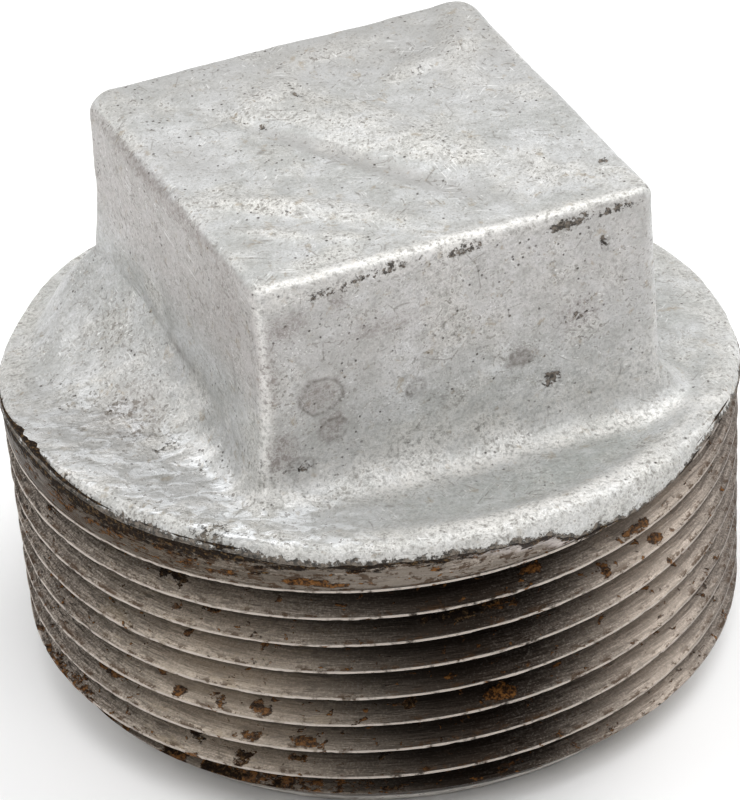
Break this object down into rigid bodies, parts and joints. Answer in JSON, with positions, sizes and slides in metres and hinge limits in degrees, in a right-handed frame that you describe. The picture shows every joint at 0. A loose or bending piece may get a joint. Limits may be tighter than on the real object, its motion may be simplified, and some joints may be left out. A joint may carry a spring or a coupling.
{
  "type": "square head pipe plug",
  "caption": "Cored iron pipe plug: a galvanized square wrench head on a round shoulder, over a bare right-hand taper pipe thread.",
  "frame": {"origin": "centre of the end face, on the thread's axis", "axes": "+Z along the thread's axis from the end face up through the head, +X and +Y square to the head's wrench flats"},
  "size_m": [0.0488, 0.0488, 0.0392],
  "materials": {
    "bare_iron": "machined malleable iron, turned marks, grime in the roots and spots of brown rust",
    "galvanized_zinc": "hot-dip zinc, matt pale grey, lumpy, with fine dark speckle, scratches and stains",
    "dull_zinc": "hot-dip zinc over a sand-cast surface, dull grey"
  },
  "bodies": {
    "root": {"casting": "bare_iron", "outer_zinc": "galvanized_zinc", "hollow_zinc": "dull_zinc"}
  },
  "joints": []
}
